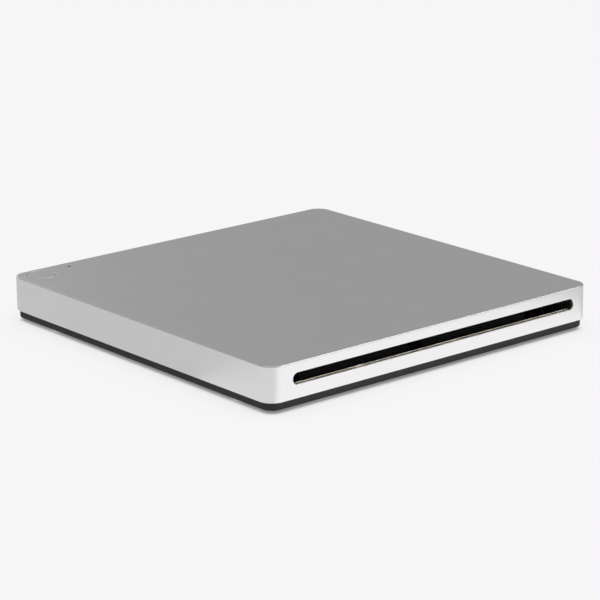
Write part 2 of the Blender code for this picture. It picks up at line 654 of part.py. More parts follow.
def build_gear(name, y, teeth, bore_r, look, turn=0.0):
    """A spur gear about the x axis, turned by a share of its tooth pitch."""
    angle = turn * 2 * math.pi / teeth
    loop = [(x * math.cos(angle) - z * math.sin(angle), x * math.sin(angle) + z * math.cos(angle))
            for x, z in gear_outline(teeth)]
    half = (GEAR_X[1] - GEAR_X[0]) / 2
    holes = [circle(0, 0, bore_r)] if bore_r else []
    return plate(name, [loop] + holes, -half, half, look,
                 location=(GEAR_X[0] + half, y, AXLE_Z), rotation=GEAR_TURN)


def build_roller():
    """Steel shaft with two waisted rubber sleeves and the driven gear."""
    rods("roller_shaft", [(0, 0)], ROLLER_SHAFT_R, -57.6 * MM, 57.6 * MM, BLACK_STEEL,
         location=(0, ROLLER_Y, AXLE_Z), rotation=ALONG_X)
    bore = ROLLER_SHAFT_R + 0.15 * MM
    thick, thin = 1.95 * MM, 1.65 * MM
    for side, name in ((-1, "left"), (1, "right")):
        outline = [(thick, 50 * MM), (thin, 20 * MM), (thin, 3 * MM), (bore, 3 * MM),
                   (bore, 50 * MM)]
        turned(f"roller_sleeve_{name}", outline, RUBBER, closed=True, steps=SMALL_STEPS,
               location=(0, ROLLER_Y, AXLE_Z), rotation=(0, side * math.pi / 2, 0))
    build_gear("roller_gear", ROLLER_Y, ROLLER_TEETH, bore, BLACK_NYLON)
    build_gear("idler_gear", IDLER_Y, IDLER_TEETH, 0.8 * MM, BLACK_NYLON, turn=0.5)


def build_loading_motor():
    """Small round motor behind the roller, and its pinion."""
    at = (0, PINION_Y, AXLE_Z)
    turned("loading_motor", [(0, 49.9 * MM), (1.9 * MM, 49.9 * MM), (1.9 * MM, 34 * MM),
                             (1.4 * MM, 32.5 * MM), (0, 32.5 * MM)], BLACK_STEEL,
           steps=24, location=at, rotation=ALONG_X)
    blank = build_gear("pinion_blank", PINION_Y, PINION_TEETH, 0, None)
    gear = solid(blank, "motor_pinion", BLACK_NYLON)
    join(gear, rods("pinion_shaft", [(0, 0)], 0.4 * MM, 50.2 * MM, 54.4 * MM, location=at,
                    rotation=ALONG_X))


# ---------------------------------------------------------------- deck and pickup

def build_deck(deck):
    """Deck frame with lift pins and rod lugs, open round the motor and the pickup."""
    frame = rounded_block("deck_frame", DECK_LOW, DECK_HIGH, 3 * MM, ZINC_SHEET, parent=deck)
    reach = 21.0 * MM
    low_x = WINDOW_X[0] - 1.5 * MM
    lugs = []
    for y in (MAIN_ROD_Y, SIDE_ROD_Y):
        for x in (low_x, WINDOW_X[1]):
            lugs.append(((x, y - 1.4 * MM, 2.8 * MM), (x + 1.5 * MM, y + 1.4 * MM, 4.2 * MM)))
    for number, x in enumerate(LIFT_PIN_X):
        join(frame, rods(f"lift_pins_{number}", [(0, 0)], LIFT_PIN_R, -reach, reach, parent=deck,
                         location=(x, 0, LIFT_PIN_Z), rotation=(math.pi / 2, 0, 0)))
    motor_notch = ((-8.5 * MM, LEAD_Y - 2.1 * MM, 3 * MM), (11 * MM, LEAD_Y + 2.1 * MM, 6 * MM))
    cut(frame,
        rods("spindle_hole", [(0, 0)], 9 * MM, 3 * MM, 6 * MM, steps=ROUND_STEPS, parent=deck),
        blocks("pickup_window", [((WINDOW_X[0], -WINDOW_Y, 3 * MM), (WINDOW_X[1], WINDOW_Y, 6 * MM))],
               parent=deck),
        blocks("lead_motor_notch", [motor_notch], parent=deck))
    join(frame, blocks("rod_lugs", lugs, parent=deck))


def build_rods_and_motors(deck):
    """Two guide rods, the lead screw and its motor, and the spindle motor's base."""
    middle = (WINDOW_X[0] + WINDOW_X[1]) / 2
    half = (WINDOW_X[1] - WINDOW_X[0]) / 2 - GAP
    for name, y in (("guide_rod_main", MAIN_ROD_Y), ("guide_rod_side", SIDE_ROD_Y)):
        rods(name, [(0, 0)], ROD_R, -half, half, STEEL, parent=deck, location=(middle, y, ROD_Z),
             rotation=ALONG_X)
    rods("lead_screw", [(0, 0)], LEAD_R, -half, half, STEEL, parent=deck,
         location=(middle, LEAD_Y, LEAD_Z), rotation=ALONG_X)
    turned("sled_motor", [(0, 10.4 * MM), (1.7 * MM, 10.4 * MM), (1.7 * MM, -8 * MM),
                          (0, -8 * MM)], STEEL, steps=24, parent=deck,
           location=(0, LEAD_Y, LEAD_Z), rotation=ALONG_X)
    turned("spindle_motor", [(0, 3.9 * MM), (8 * MM, 3.9 * MM), (8 * MM, 3.6 * MM),
                             (11 * MM, 3.6 * MM), (11 * MM, 2.9 * MM), (0, 2.9 * MM)],
           ZINC_SHEET, parent=deck)


def build_spindle(deck):
    """Turntable on the motor's rotor, its rubber pad and the hub that grips the disc."""
    turned("turntable", [(0, 5.85 * MM), (12.2 * MM, 5.85 * MM), (12.2 * MM, 5.2 * MM),
                         (8.5 * MM, 5.2 * MM), (8.5 * MM, 4.2 * MM), (0, 4.2 * MM)],
           GREY_PLASTIC, steps=40, parent=deck)
    ring("turntable_pad", 8.8 * MM, 11.9 * MM, 6.05 * MM, 6.4 * MM, RUBBER, steps=40, parent=deck)
    hub = turned("clamp_hub", [(0, 7.6 * MM), (3 * MM, 7.6 * MM), (3.6 * MM, 7.9 * MM),
                               (6.2 * MM, 7.9 * MM), (7.3 * MM, 7.0 * MM), (7.3 * MM, 6.05 * MM),
                               (0, 6.05 * MM)], NYLON, parent=deck)
    slits = []
    for turn in range(3):
        slit = blocks(f"hub_slit_{turn}", [((4 * MM, -0.4 * MM, 6.7 * MM),
                                            (9 * MM, 0.4 * MM, 9 * MM))],
                      parent=deck, rotation=(0, 0, math.radians(120 * turn)))
        slits.append(slit)
    cut(hub, *slits)


def build_pickup(deck):
    """Pickup sled on the rods, its cover, and the lens in its sprung holder."""
    x_low, x_high = LENS_X - 11 * MM, LENS_X + 4.6 * MM
    sled = blocks("pickup_sled", [((x_low, -9 * MM, 2.5 * MM), (x_high, 12.6 * MM, 4.4 * MM))],
                  BLACK_PLASTIC, parent=deck)
    side_low = SIDE_ROD_Y - 2.0 * MM
    join(sled,
         blocks("rod_bush", [((x_low, MAIN_ROD_Y - 2 * MM, 2.5 * MM),
                              (x_high, MAIN_ROD_Y + 2 * MM, 5.1 * MM))], parent=deck),
         blocks("rod_fork", [((x_low + 4 * MM, side_low, 2.55 * MM),
                              (x_low + 10 * MM, 16 * MM, 5.1 * MM))], parent=deck),
         blocks("lead_nut", [((x_low + 4 * MM, -16.1 * MM, 2.8 * MM),
                              (x_low + 10 * MM, -12.2 * MM, 5.7 * MM))], parent=deck))
    lens_half = 4.3 * MM
    cut(sled,
        rods("bush_bore", [(0, 0)], ROD_R + 0.2 * MM, 5 * MM, 40 * MM, parent=deck,
             location=(0, MAIN_ROD_Y, ROD_Z), rotation=ALONG_X),
        blocks("fork_gap", [((5 * MM, SIDE_ROD_Y - ROD_R - GAP, ROD_Z - ROD_R - 0.2 * MM),
                             (40 * MM, 18 * MM, ROD_Z + ROD_R + 0.2 * MM))], parent=deck),
        rods("nut_bore", [(0, 0)], LEAD_R + 0.25 * MM, 5 * MM, 40 * MM, parent=deck,
             location=(0, LEAD_Y, LEAD_Z), rotation=ALONG_X),
        blocks("lens_pocket", [((LENS_X - lens_half, -lens_half, 2.8 * MM),
                                (LENS_X + lens_half, lens_half, 6 * MM))], parent=deck))
    window = round_rect(LENS_X - lens_half, -lens_half, LENS_X + lens_half - 0.2 * MM, lens_half,
                        0.6 * MM, steps=3)
    edge = round_rect(x_low + 0.5 * MM, -8.2 * MM, x_high, 11 * MM, 0.6 * MM, steps=3)
    plate("pickup_cover", [edge, window], 4.55 * MM, 4.8 * MM, STEEL, parent=deck)
    half = 3.6 * MM
    blocks("lens_holder", [((LENS_X - half, -half, 3.4 * MM), (LENS_X + half, half, 4.9 * MM))],
           BLACK_PLASTIC, parent=deck)
    turned("objective_lens", [(0, 5.4 * MM), (1.2 * MM, 5.3 * MM), (2.1 * MM, 5.0 * MM),
                              (0, 5.0 * MM)], GLASS, steps=SMALL_STEPS, parent=deck,
           location=(LENS_X, 0, 0))


def build_cam_slide(deck):
    """Slide beside the deck: its two ramps lift the deck's pins as it is pulled back."""
    slope = LIFT / CAM_TRAVEL
    low_z, start, end = 3.35 * MM, 2 * MM, 57 * MM
    outline = [(start, 2.6 * MM), (end, 2.6 * MM), (end, low_z + LIFT)]
    first, second = LIFT_PIN_X
    crest = 2.5 * MM
    outline += [(second + CAM_TRAVEL, low_z + slope * CAM_TRAVEL), (second, low_z),
                (first + CAM_TRAVEL + crest, low_z), (first + CAM_TRAVEL + crest, low_z + LIFT),
                (first + CAM_TRAVEL, low_z + LIFT), (first, low_z), (start, low_z)]
    web = front_cutter("cam_slide_web", outline, 20.0 * MM, 21.2 * MM)
    web.parent = deck
    slide = blocks("cam_slide", [((start, 21.0 * MM, PAN_TOP_Z + GAP), (end, 24.5 * MM, 4.4 * MM))],
                   NYLON, parent=deck)
    join(slide, web)


clear_scene()
PARTS = new_collection("external_optical_drive")
TOOLS = new_collection("cutters")
DECK = add_empty("deck_axes", (0, SPINDLE_Y, 0), DECK_TURN)

build_top_shell()
build_base_tray()
build_feet()
build_screws()
build_slot_parts()
build_eject_button()
build_light()
build_board()
build_usb_socket()
build_chassis(DECK)
build_top_cover()
build_drive_board()
build_eject_arm()
build_roller_bracket()
build_roller()
build_loading_motor()
build_deck(DECK)
build_rods_and_motors(DECK)
build_spindle(DECK)
build_pickup(DECK)
build_cam_slide(DECK)
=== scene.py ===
import json
import math

import bmesh
import bpy
from mathutils import Matrix, Vector


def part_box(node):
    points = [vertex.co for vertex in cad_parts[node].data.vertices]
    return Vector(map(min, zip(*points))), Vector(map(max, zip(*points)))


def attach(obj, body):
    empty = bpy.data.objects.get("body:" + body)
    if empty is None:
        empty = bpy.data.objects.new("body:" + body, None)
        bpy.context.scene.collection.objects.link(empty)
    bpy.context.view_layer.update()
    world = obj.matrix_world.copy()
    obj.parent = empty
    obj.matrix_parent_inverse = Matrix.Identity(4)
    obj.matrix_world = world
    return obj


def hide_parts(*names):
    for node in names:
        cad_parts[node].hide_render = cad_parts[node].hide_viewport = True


# Looks of an external slot-loading optical drive, in metres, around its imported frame.
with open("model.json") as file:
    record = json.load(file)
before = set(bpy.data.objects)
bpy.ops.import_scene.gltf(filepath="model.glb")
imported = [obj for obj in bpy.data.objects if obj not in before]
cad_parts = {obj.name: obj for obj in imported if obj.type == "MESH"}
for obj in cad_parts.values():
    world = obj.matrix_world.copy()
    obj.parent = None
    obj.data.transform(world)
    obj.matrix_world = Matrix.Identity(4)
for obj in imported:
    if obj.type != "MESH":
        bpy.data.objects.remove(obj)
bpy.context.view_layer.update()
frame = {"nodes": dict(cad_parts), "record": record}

MM = 0.001
RECORD = frame["record"]
SLOT_OF = {part["node"]: part["material_slot"] for part in RECORD["subparts"]}
BODY_OF = {node: body for body, nodes in RECORD["behaviour"]["bodies"].items() for node in nodes}

# Case: plan corners, wall and the small roundings that catch the light.
CORNER_R = 5.0 * MM
WALL = 1.2 * MM
TOP_EDGE_R = 0.4 * MM
RIM_EDGE_R = 0.2 * MM
BASE_EDGE_R = 0.6 * MM
HOLE_EDGE_R = 0.25 * MM
POST_R = 2.1 * MM
SCREW_HOLE_R = 1.1 * MM
CORNER_STEPS = 16
EDGE_STEPS = 6
SMOOTH_BELOW = math.radians(35)


# ---------------------------------------------------------------- mesh helpers

def new_object(name, mesh):
    piece = bpy.data.objects.new(name, mesh)
    bpy.context.scene.collection.objects.link(piece)
    return piece


def to_object(name, bm):
    """The object made from bm, with its faces pointing out."""
    bmesh.ops.recalc_face_normals(bm, faces=bm.faces)
    mesh = bpy.data.meshes.new(name)
    bm.to_mesh(mesh)
    bm.free()
    return new_object(name, mesh)


def loft(name, sections, closed=False):
    """A closed mesh through outlines with equal numbers of points, with capped ends, or with
    the last outline joined to the first when closed."""
    bm = bmesh.new()
    rows = [[bm.verts.new(point) for point in section] for section in sections]
    for here, after in zip(rows, rows[1:] + rows[:1] if closed else rows[1:]):
        for i in range(len(here)):
            j = (i + 1) % len(here)
            bm.faces.new((here[i], here[j], after[j], after[i]))
    if not closed:
        bm.faces.new(rows[0])
        bm.faces.new(rows[-1])
    return to_object(name, bm)


def lathe(name, profile, centre=(0, 0, 0), steps=48):
    """A solid turned about its own Z from (radius, height) pairs that start and end on the axis."""
    bm = bmesh.new()
    ends = [bm.verts.new((0, 0, profile[0][1])), bm.verts.new((0, 0, profile[-1][1]))]
    turns = [math.tau * i / steps for i in range(steps)]
    rows = [[bm.verts.new((r * math.cos(turn), r * math.sin(turn), z)) for turn in turns]
            for r, z in profile[1:-1]]
    for i in range(steps):
        j = (i + 1) % steps
        bm.faces.new((ends[0], rows[0][i], rows[0][j]))
        for here, after in zip(rows, rows[1:]):
            bm.faces.new((here[i], after[i], after[j], here[j]))
        bm.faces.new((ends[1], rows[-1][j], rows[-1][i]))
    bm.transform(Matrix.Translation(centre))
    return to_object(name, bm)


def box_into(bm, low, high):
    """Adds a closed box to bm."""
    low, high = Vector(low), Vector(high)
    made = bmesh.ops.create_cube(bm, size=1)["verts"]
    bmesh.ops.scale(bm, vec=high - low, verts=made)
    bmesh.ops.translate(bm, vec=(low + high) / 2, verts=made)
    return made


def boxes(name, corners, bevel=0.0):
    """Separate closed boxes in one object, with their edges rounded by bevel."""
    bm = bmesh.new()
    for low, high in corners:
        box_into(bm, low, high)
    if bevel:
        bmesh.ops.bevel(bm, geom=list(bm.edges), offset=bevel, segments=3, profile=0.5,
                        affect="EDGES")
    return to_object(name, bm)


def quarter(radius, steps=EDGE_STEPS):
    """(inset, rise) along a rounded edge, from the wall to the flat that it turns into."""
    turns = [math.pi / 2 * i / steps for i in range(steps + 1)]
    return [(radius * (1 - math.cos(t)), radius * math.sin(t)) for t in turns]


def rounded(half_x, half_y, radius, steps=CORNER_STEPS):
    """Points round a rectangle with arcs at its corners, about the origin."""
    points = []
    for sign_x, sign_y, start in ((1, 1, 0), (-1, 1, 90), (-1, -1, 180), (1, -1, 270)):
        for i in range(steps + 1):
            angle = math.radians(start + 90 * i / steps)
            points.append((sign_x * (half_x - radius) + radius * math.cos(angle),
                           sign_y * (half_y - radius) + radius * math.sin(angle)))
    return points


def plan(half, radius, z):
    """A rounded square at height z."""
    return [(x, y, z) for x, y in rounded(half, half, radius)]


def upright(half_x, half_z, radius, y, centre):
    """A rounded rectangle that faces along Y, about a centre in x and z."""
    return [(centre[0] + x, y, centre[1] + z)
            for x, z in rounded(half_x, half_z, radius * 0.999, 10)]


def disc(centre, radius, z, steps=64):
    return [(centre[0] + radius * math.cos(math.tau * i / steps),
             centre[1] + radius * math.sin(math.tau * i / steps), z) for i in range(steps)]


def pillar(name, centre, radius, z_low, z_high, steps=32):
    return loft(name, [disc(centre, radius, z_low, steps), disc(centre, radius, z_high, steps)])


def combine(piece, operation, tools):
    """Cuts tools out of piece, or joins them to it, and removes them."""
    for tool in tools:
        modifier = piece.modifiers.new(tool.name, "BOOLEAN")
        modifier.operation = operation
        modifier.solver = "EXACT"
        modifier.object = tool
    bpy.context.view_layer.update()
    seen = piece.evaluated_get(bpy.context.evaluated_depsgraph_get())
    mesh = bpy.data.meshes.new_from_object(seen)
    piece.modifiers.clear()
    old, piece.data = piece.data, mesh
    mesh.name = piece.name
    bpy.data.meshes.remove(old)
    for tool in tools:
        bpy.data.objects.remove(tool)
    return piece


def cut(piece, *tools):
    return combine(piece, "DIFFERENCE", tools)


def join(piece, *tools):
    return combine(piece, "UNION", tools)


def shade(piece):
    """Smooth roundings beside flat faces that stay flat."""
    piece.data.shade_smooth()
    piece.data.set_sharp_from_angle(angle=SMOOTH_BELOW)
    modifier = piece.modifiers.new("flat_faces_stay_flat", "WEIGHTED_NORMAL")
    modifier.keep_sharp = True


REMADE = set()


def stand_for(piece, node):
    """Piece takes the place of a CAD node: its body, its finish and its slot."""
    piece.data.materials.clear()
    piece.data.materials.append(FINISHES[SLOT_OF[node]])
    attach(piece, BODY_OF[node])
    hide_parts(node)
    REMADE.add(node)
    shade(piece)


# ---------------------------------------------------------------- materials

def shader_of(material):
    return next(n for n in material.node_tree.nodes if n.type == "BSDF_PRINCIPLED")


def graph(name):
    """A new material with its node tree, shader and object coordinates."""
    material = bpy.data.materials.new(name)
    material.use_nodes = True
    tree = material.node_tree
    shader = shader_of(material)
    place = tree.nodes.new("ShaderNodeTexCoord").outputs["Object"]
    return material, tree, shader, place


def noise(tree, place, size, detail=2.0, stretch=(1, 1, 1)):
    """Noise whose features are about size metres across."""
    mapping = tree.nodes.new("ShaderNodeMapping")
    mapping.inputs["Scale"].default_value = stretch
    tree.links.new(place, mapping.inputs["Vector"])
    texture = tree.nodes.new("ShaderNodeTexNoise")
    texture.inputs["Scale"].default_value = 1 / size
    texture.inputs["Detail"].default_value = detail
    tree.links.new(mapping.outputs["Vector"], texture.inputs["Vector"])
    return texture.outputs["Fac"]


def spread(tree, value, low, high, share=(0.3, 0.7)):
    """Value's middle range carried to low..high."""
    node = tree.nodes.new("ShaderNodeMapRange")
    node.inputs["From Min"].default_value = share[0]
    node.inputs["From Max"].default_value = share[1]
    node.inputs["To Min"].default_value = low
    node.inputs["To Max"].default_value = high
    tree.links.new(value, node.inputs["Value"])
    return node.outputs["Result"]


def tint(tree, value, dark, light, share=(0.3, 0.7)):
    """A colour between dark and light, chosen by value."""
    ramp = tree.nodes.new("ShaderNodeValToRGB")
    ramp.color_ramp.elements[0].position = share[0]
    ramp.color_ramp.elements[1].position = share[1]
    ramp.color_ramp.elements[0].color = (*dark, 1)
    ramp.color_ramp.elements[1].color = (*light, 1)
    tree.links.new(value, ramp.inputs["Fac"])
    return ramp.outputs["Color"]


def bump(tree, shader, height, distance, below=None):
    node = tree.nodes.new("ShaderNodeBump")
    node.inputs["Distance"].default_value = distance
    tree.links.new(height, node.inputs["Height"])
    if below is not None:
        tree.links.new(below, node.inputs["Normal"])
    tree.links.new(node.outputs["Normal"], shader.inputs["Normal"])
    return node.outputs["Normal"]


def mottled(name, dark, light, rough, metallic=0.0, patch=6 * MM, grain=0.15 * MM,
            depth=0.003 * MM, stretch=(1, 1, 1)):
    """A surface with patches of slightly different colour and gloss, and a fine grain."""
    material, tree, shader, place = graph(name)
    shader.inputs["Metallic"].default_value = metallic
    patches = noise(tree, place, patch, 4.0)
    fine = noise(tree, place, grain, 2.0, stretch)
    tree.links.new(tint(tree, patches, dark, light), shader.inputs["Base Color"])
    tree.links.new(spread(tree, fine, *rough), shader.inputs["Roughness"])
    bump(tree, shader, fine, depth)
    return material


def shell_aluminium():
    """Bead-blasted and anodised: a very fine, even grain."""
    return mottled("shell_aluminium", (0.60, 0.60, 0.605), (0.615, 0.615, 0.62), (0.37, 0.41),
                   1.0, patch=14 * MM, grain=0.12 * MM, depth=0.0015 * MM)


def base_plastic():
    """Moulded black plastic with a fine spark-eroded texture."""
    material = mottled("base_plastic", (0.034, 0.034, 0.035), (0.042, 0.042, 0.043),
                       (0.42, 0.56), patch=3 * MM, grain=0.22 * MM, depth=0.012 * MM)
    shader_of(material).inputs["Specular IOR Level"].default_value = 0.06
    return material


def foot_rubber():
    return mottled("foot_rubber", (0.018, 0.018, 0.018), (0.030, 0.030, 0.030),
                   (0.75, 0.95), patch=1.5 * MM, grain=0.1 * MM, depth=0.02 * MM)


def drive_rubber():
    material = mottled("drive_rubber", (0.036, 0.036, 0.037), (0.052, 0.052, 0.053),
                       (0.6, 0.85), patch=1.0 * MM, grain=0.12 * MM, depth=0.012 * MM)
    shader_of(material).inputs["Specular IOR Level"].default_value = 0.1
    return material


def screw_steel():
    return mottled("screw_steel", (0.30, 0.30, 0.31), (0.42, 0.42, 0.43), (0.25, 0.42),
                   1.0, patch=0.8 * MM, grain=0.08 * MM, depth=0.004 * MM)


def rod_steel():
    """Ground and polished: fine lines in the surface."""
    return mottled("rod_steel", (0.55, 0.56, 0.58), (0.66, 0.67, 0.69), (0.16, 0.30), 1.0,
                   patch=2 * MM, grain=0.15 * MM, depth=0.002 * MM, stretch=(1, 1, 6))


def sheet_steel():
    """Galvanised sheet: large spangle crystals under a rolled grain."""
    material, tree, shader, place = graph("sheet_steel")
    shader.inputs["Metallic"].default_value = 1.0
    spangle = tree.nodes.new("ShaderNodeTexVoronoi")
    spangle.inputs["Scale"].default_value = 1 / (5 * MM)
    tree.links.new(place, spangle.inputs["Vector"])
    grey = tree.nodes.new("ShaderNodeRGBToBW")
    tree.links.new(spangle.outputs["Color"], grey.inputs["Color"])
    rolled = noise(tree, place, 0.25 * MM, 3.0, (1, 12, 1))
    tree.links.new(tint(tree, grey.outputs["Val"], (0.46, 0.47, 0.48), (0.60, 0.61, 0.63), (0, 1)),
                   shader.inputs["Base Color"])
    tree.links.new(spread(tree, grey.outputs["Val"], 0.30, 0.48, (0, 1)),
                   shader.inputs["Roughness"])
    bump(tree, shader, rolled, 0.004 * MM)
    return material


def lip_metal():
    """Thin tan strip, rolled lengthways and slightly wavy, so its edge glints unevenly."""
    material, tree, shader, place = graph("lip_metal")
    shader.inputs["Metallic"].default_value = 0.8
    drawn = noise(tree, place, 0.3 * MM, 3.0, (0.04, 1, 1))
    waves = noise(tree, place, 7 * MM, 2.0)
    tree.links.new(tint(tree, drawn, (0.48, 0.435, 0.365), (0.78, 0.72, 0.61)),
                   shader.inputs["Base Color"])
    tree.links.new(spread(tree, drawn, 0.14, 0.30), shader.inputs["Roughness"])
    rolled = bump(tree, shader, drawn, 0.01 * MM)
    bump(tree, shader, waves, 0.25 * MM, below=rolled)
    return material


def felt():
    """Black wiper felt: short tangled fibres."""
    material, tree, shader, place = graph("felt")
    shader.inputs["Sheen Weight"].default_value = 0.35
    shader.inputs["Sheen Roughness"].default_value = 0.6
    fibres = noise(tree, place, 0.1 * MM, 6.0, (1, 3, 1))
    tree.links.new(tint(tree, fibres, (0.004, 0.004, 0.004), (0.022, 0.022, 0.022)),
                   shader.inputs["Base Color"])
    tree.links.new(spread(tree, fibres, 0.85, 1.0), shader.inputs["Roughness"])
    bump(tree, shader, fibres, 0.08 * MM)
    return material


def contact_gold():
    return mottled("contact_gold", (0.80, 0.58, 0.24), (0.90, 0.68, 0.32), (0.2, 0.35), 1.0,
                   patch=0.5 * MM, grain=0.05 * MM, depth=0.002 * MM)


def circuit_board():
    """Green solder mask over straight copper tracks that run in two directions."""
    material, tree, shader, place = graph("circuit_board")
    tracks = []
    for turn, pitch in ((0, 3.2 * MM), (90, 4.4 * MM)):
        mapping = tree.nodes.new("ShaderNodeMapping")
        mapping.inputs["Rotation"].default_value = (0, 0, math.radians(turn))
        tree.links.new(place, mapping.inputs["Vector"])
        lines = tree.nodes.new("ShaderNodeTexBrick")
        lines.offset = 0.37
        lines.inputs["Scale"].default_value = 1 / pitch
        lines.inputs["Mortar Size"].default_value = 0.018
        lines.inputs["Mortar Smooth"].default_value = 0.2
        lines.inputs["Brick Width"].default_value = 1.7
        lines.inputs["Row Height"].default_value = 0.23
        tree.links.new(mapping.outputs["Vector"], lines.inputs["Vector"])
        tracks.append(lines.outputs["Fac"])
    areas = spread(tree, noise(tree, place, 9 * MM, 1.0), 0.0, 1.0, (0.49, 0.51))
    choice = tree.nodes.new("ShaderNodeMix")
    tree.links.new(areas, choice.inputs["Factor"])
    tree.links.new(tracks[0], choice.inputs["A"])
    tree.links.new(tracks[1], choice.inputs["B"])
    copper = choice.outputs["Result"]
    tree.links.new(tint(tree, copper, (0.008, 0.095, 0.04), (0.03, 0.20, 0.09), (0, 1)),
                   shader.inputs["Base Color"])
    glaze = noise(tree, place, 0.8 * MM)
    tree.links.new(spread(tree, glaze, 0.28, 0.42), shader.inputs["Roughness"])
    bump(tree, shader, copper, 0.02 * MM)
    return material


def chip_package():
    """Moulded epoxy with a faint speckle."""
    return mottled("chip_package", (0.016, 0.016, 0.018), (0.034, 0.034, 0.037), (0.45, 0.62),
                   patch=0.4 * MM, grain=0.08 * MM, depth=0.008 * MM)


def gear_nylon():
    material = mottled("gear_nylon", (0.72, 0.70, 0.62), (0.82, 0.80, 0.73), (0.32, 0.48),
                       patch=1.5 * MM, grain=0.2 * MM, depth=0.004 * MM)
    shader = shader_of(material)
    shader.inputs["Subsurface Weight"].default_value = 0.25
    shader.inputs["Subsurface Scale"].default_value = 0.5 * MM
    return material


def gear_black():
    return mottled("gear_black", (0.006, 0.006, 0.006), (0.012, 0.012, 0.012), (0.5, 0.65),
                   patch=1.5 * MM, grain=0.2 * MM, depth=0.004 * MM)


def black_steel():
    """Black plating with a faint rolled grain."""
    return mottled("black_steel", (0.014, 0.014, 0.015), (0.026, 0.026, 0.028), (0.32, 0.48), 1.0,
                   patch=2 * MM, grain=0.2 * MM, depth=0.003 * MM, stretch=(1, 8, 1))


def spindle_plastic():
    return mottled("spindle_plastic", (0.05, 0.05, 0.055), (0.075, 0.075, 0.08),
                   (0.30, 0.45), patch=2 * MM, grain=0.15 * MM, depth=0.005 * MM)


def clear(name, dark, light, index, rough, specular=0.5):
    """Clear plastic or glass, with a little haze."""
    material, tree, shader, place = graph(name)
    shader.inputs["IOR"].default_value = index
    shader.inputs["Specular IOR Level"].default_value = specular
    shader.inputs["Transmission Weight"].default_value = 0.9
    haze = noise(tree, place, 0.5 * MM)
    tree.links.new(tint(tree, haze, dark, light), shader.inputs["Base Color"])
    tree.links.new(spread(tree, haze, *rough), shader.inputs["Roughness"])
    return material


for plain in list(bpy.data.materials):
    bpy.data.materials.remove(plain)
FINISHES = {made.name: made for made in (
    shell_aluminium(), base_plastic(), foot_rubber(), drive_rubber(), screw_steel(), rod_steel(),
    sheet_steel(), lip_metal(), felt(), circuit_board(), chip_package(), gear_nylon(),
    gear_black(), black_steel(), spindle_plastic(),
    clear("light_pipe", (0.02, 0.02, 0.02), (0.04, 0.04, 0.04), 1.49, (0.3, 0.45), 0.05),
    clear("lens_glass", (0.50, 0.60, 0.85), (0.62, 0.72, 0.95), 1.52, (0.02, 0.05)))}
for node, piece in frame["nodes"].items():
    piece.data.materials.clear()
    piece.data.materials.append(FINISHES[SLOT_OF[node]])


# ---------------------------------------------------------------- case

SHELL_LOW, SHELL_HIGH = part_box("top_shell")
BASE_LOW, BASE_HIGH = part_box("base_tray")
HALF = SHELL_HIGH.x
TOP_Z = SHELL_HIGH.z
RIM_Z = 3.8 * MM
BASE_TOP_Z = 3.5 * MM
CEILING_Z = TOP_Z - WALL
ROOM = HALF - WALL


def centre_of(node):
    low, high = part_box(node)
    return (low + high) / 2


CASE_POSTS = [centre_of(f"case_screw_{n}") for n in (1, 2, 3, 4)]
HANGERS = [centre_of(f"drive_screw_{n}") for n in (1, 2, 3, 4)]
BOARD_SCREWS = [centre_of(f"board_screw_{n}") for n in (1, 2)]
FEET = [f"foot_{row}_{side}" for row in ("front", "back") for side in ("left", "right")]

# The disc slot: its outer edge is the CAD's hole, and the rounding takes it in from there.
SLOT_HALF_X, SLOT_HALF_Z, SLOT_Z = 61.7 * MM, 2.15 * MM, 10.2 * MM
SLOT_X = centre_of("slot_lip").x
USB_LOW, USB_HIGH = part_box("usb_socket")
USB_HOLE_GAP = 0.35 * MM
KEY = centre_of("eject_button")
KEY_R = 4.8 * MM
KEY_FIT = 0.1 * MM
KEY_GAP = 0.1 * MM
KEY_EDGE_R = 0.2 * MM
LIGHT = centre_of("led_light_pipe")
LIGHT_R = 0.68 * MM
LIGHT_GAP = 0.04 * MM
LIGHT_EDGE_R = 0.03 * MM


def hole_through_wall(name, half_x, half_z, centre, face_y, inward, edge=HOLE_EDGE_R):
    """A cutter along Y whose rim is rounded where it meets the wall's outer face."""
    sections = [upright(half_x, half_z, half_z, face_y - inward * 1 * MM, centre)]
    for inset, rise in reversed(quarter(edge)):
        depth = edge - rise if rise < edge else -0.02 * MM
        sections.append(upright(half_x - edge + inset, half_z - edge + inset,
                                half_z - edge + inset, face_y + inward * depth, centre))
    sections.append(upright(half_x - edge, half_z - edge, half_z - edge,
                            face_y + inward * (WALL + 0.6 * MM), centre))
    return loft(name, sections)


def hole_through_top(name, centre, radius, edge):
    """A cutter along Z with a rounded rim at the top face. Radius is the hole's own."""
    sections = [disc(centre, radius + edge, TOP_Z + 1 * MM)]
    for inset, rise in reversed(quarter(edge, 4)):
        depth = edge - rise if rise < edge else -0.02 * MM
        sections.append(disc(centre, radius + inset, TOP_Z - depth))
    sections.append(disc(centre, radius, CEILING_Z - 1 * MM))
    return loft(name, sections)


